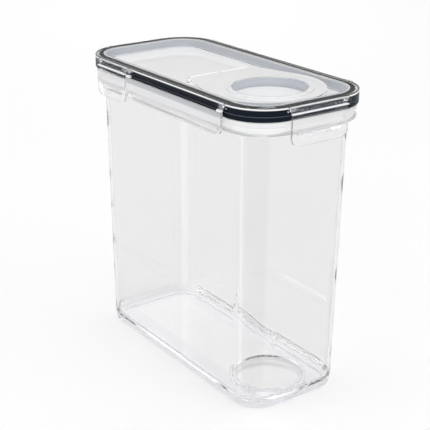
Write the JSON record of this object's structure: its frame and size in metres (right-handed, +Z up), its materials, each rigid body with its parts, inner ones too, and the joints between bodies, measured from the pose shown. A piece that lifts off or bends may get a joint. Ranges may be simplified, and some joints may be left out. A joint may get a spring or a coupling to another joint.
{
  "type": "airtight cereal container",
  "caption": "Tall clear rectangular food container with an airtight recessed lid, a round flip spout cap, a dark seal band and fold-down side clips.",
  "frame": {"origin": "on the resting surface, under the middle of the container's foot", "axes": "+Z up; +X along the length, towards the spout; Y across the width"},
  "size_m": [0.2364, 0.1154, 0.235],
  "materials": {
    "clear_body": "clear, glossy",
    "clear_lid": "clear, glossy",
    "clear_cap": "clear, glossy",
    "clear_pin": "clear, glossy",
    "clear_clip": "clear, glossy",
    "dark_seal": "smooth silicone",
    "dark_band": "smooth, satin",
    "pale_seal": "translucent silicone"
  },
  "bodies": {
    "container": {"container": "clear_body"},
    "lid": {"lid": "clear_lid", "seal_ring": "dark_seal", "lid_band": "dark_band", "cap_hinge_pin": "clear_pin"},
    "flip_cap": {"flip_cap": "clear_cap", "cap_seal": "pale_seal"},
    "clip_front": {"clip_front": "clear_clip"},
    "clip_rear": {"clip_rear": "clear_clip"},
    "clip_right_small": {"clip_right_small": "clear_clip"},
    "clip_left_small": {"clip_left_small": "clear_clip"},
    "clip_right_long": {"clip_right_long": "clear_clip"},
    "clip_left_long": {"clip_left_long": "clear_clip"}
  },
  "joints": [
    {"name": "lid_lift", "type": "slide", "parent": "container", "child": "lid", "axis": [0, 0, 1], "range_m": [0, 0.06]},
    {"name": "cap_hinge", "type": "hinge", "parent": "lid", "child": "flip_cap", "pos_m": [0.002, 0, 0.2309], "axis": [0, -1, 0], "range_deg": [0, 115]},
    {"name": "clip_front_hinge", "type": "hinge", "parent": "lid", "child": "clip_front", "pos_m": [0.1165, 0, 0.233], "axis": [0, -1, 0], "range_deg": [0, 120]},
    {"name": "clip_rear_hinge", "type": "hinge", "parent": "lid", "child": "clip_rear", "pos_m": [-0.1165, 0, 0.233], "axis": [0, 1, 0], "range_deg": [0, 120]},
    {"name": "clip_right_small_hinge", "type": "hinge", "parent": "lid", "child": "clip_right_small", "pos_m": [-0.062, -0.056, 0.233], "axis": [-1, 0, 0], "range_deg": [0, 120]},
    {"name": "clip_right_long_hinge", "type": "hinge", "parent": "lid", "child": "clip_right_long", "pos_m": [0.0216, -0.056, 0.233], "axis": [-1, 0, 0], "range_deg": [0, 120]},
    {"name": "clip_left_small_hinge", "type": "hinge", "parent": "lid", "child": "clip_left_small", "pos_m": [-0.062, 0.056, 0.233], "axis": [1, 0, 0], "range_deg": [0, 120]},
    {"name": "clip_left_long_hinge", "type": "hinge", "parent": "lid", "child": "clip_left_long", "pos_m": [0.0216, 0.056, 0.233], "axis": [1, 0, 0], "range_deg": [0, 120]}
  ]
}
